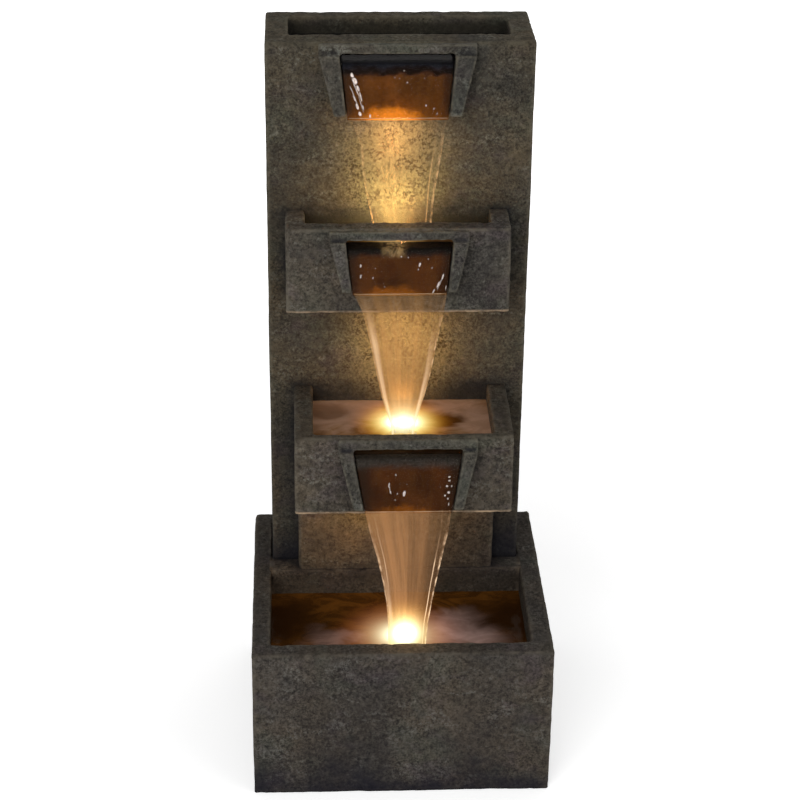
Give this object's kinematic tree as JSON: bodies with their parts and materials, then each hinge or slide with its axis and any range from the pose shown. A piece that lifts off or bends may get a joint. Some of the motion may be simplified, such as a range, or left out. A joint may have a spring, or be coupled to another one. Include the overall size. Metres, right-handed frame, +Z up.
{
  "type": "garden cascade fountain",
  "caption": "Tall free-standing cascade fountain: a square tower over a square basin, water falling from a top reservoir through weir spouts and lit troughs, with a pump behind a rear door.",
  "frame": {"origin": "centre of the basin's underside, on the ground", "axes": "+Z up, +Y towards the back, -Y towards the viewer and the spouts, +X to the right seen from the front"},
  "size_m": [0.41, 0.38, 1],
  "materials": {
    "cast_stone": "matt dark cast resin stone, mottled, with worn paler edges",
    "wet_stone": "the same casting under a film of water, warm brown",
    "stainless": "brushed",
    "brass": "turned",
    "black_plastic": "moulded, fine grain",
    "grey_plastic": "moulded",
    "impeller_plastic": "moulded",
    "rubber": "matt",
    "hose": "smooth vinyl",
    "cable": "smooth",
    "epoxy": "cast",
    "laminations": "stacked sheet",
    "copper_winding": "enamelled wire",
    "ferrite": "matt",
    "ceramic": "ground",
    "lens": "clear, lit warm",
    "circuit_board": "solder resist with white emitters"
  },
  "bodies": {
    "fountain": {"basin": "cast_stone", "tower_shell": "cast_stone", "ledge_wall": "cast_stone", "pedestal_block": "cast_stone", "trough_middle": "cast_stone", "trough_lower": "cast_stone", "spout_frame_upper": "cast_stone", "spout_frame_middle": "cast_stone", "spout_frame_lower": "cast_stone", "chute_upper": "wet_stone", "chute_middle": "wet_stone", "chute_lower": "wet_stone", "trough_screws": "stainless", "bracket_screws": "stainless", "hose_clamps": "stainless", "light_basin_bracket": "stainless", "light_lower_bracket": "stainless", "light_middle_bracket": "stainless", "door_inserts": "brass", "pump_housing": "black_plastic", "pump_chamber": "black_plastic", "pump_outlet": "black_plastic", "light_basin_housing": "black_plastic", "light_lower_housing": "black_plastic", "light_middle_housing": "black_plastic", "reservoir_fitting": "black_plastic", "fitting_nut": "black_plastic", "junction_glands": "black_plastic", "lead_clips": "black_plastic", "junction_box": "grey_plastic", "junction_lid": "grey_plastic", "pump_bushes": "rubber", "pump_feet": "rubber", "pump_gland": "rubber", "fitting_seal": "rubber", "light_seals": "rubber", "lead_grommets": "rubber", "riser_hose": "hose", "lead_pump": "cable", "lead_light_basin": "cable", "lead_light_lower": "cable", "lead_light_middle": "cable", "pump_potting": "epoxy", "pump_stator_core": "laminations", "pump_coils": "copper_winding", "pump_shaft": "ceramic", "light_basin_lens": "lens", "light_lower_lens": "lens", "light_middle_lens": "lens", "light_boards": "circuit_board"},
    "door": {"rear_door": "cast_stone", "door_gasket": "rubber", "outlet_grommet": "rubber"},
    "thumbscrew_left": {"thumbscrew_left": "brass"},
    "thumbscrew_right": {"thumbscrew_right": "brass"},
    "rotor": {"pump_rotor_magnet": "ferrite", "pump_impeller": "impeller_plastic"},
    "strainer": {"pump_strainer": "black_plastic"},
    "flow_dial": {"pump_flow_dial": "impeller_plastic"}
  },
  "joints": [
    {"name": "door_slide", "type": "slide", "parent": "fountain", "child": "door", "axis": [0, 1, 0], "range_m": [0, 0.06]},
    {"name": "thumbscrew_left_turn", "type": "hinge", "parent": "door", "child": "thumbscrew_left", "pos_m": [-0.093, 0.1832, 0.352], "axis": [0, 1, 0], "continuous": true},
    {"name": "thumbscrew_right_turn", "type": "hinge", "parent": "door", "child": "thumbscrew_right", "pos_m": [0.089, 0.1832, 0.352], "axis": [0, 1, 0], "continuous": true},
    {"name": "rotor_spin", "type": "hinge", "parent": "fountain", "child": "rotor", "pos_m": [0.03, 0.118, 0.046], "axis": [1, 0, 0], "continuous": true},
    {"name": "strainer_slide", "type": "slide", "parent": "fountain", "child": "strainer", "axis": [-1, 0, 0], "range_m": [0, 0.04]},
    {"name": "flow_dial_turn", "type": "hinge", "parent": "strainer", "child": "flow_dial", "pos_m": [-0.047, 0.118, 0.046], "axis": [1, 0, 0], "range_deg": [0, 45]}
  ]
}
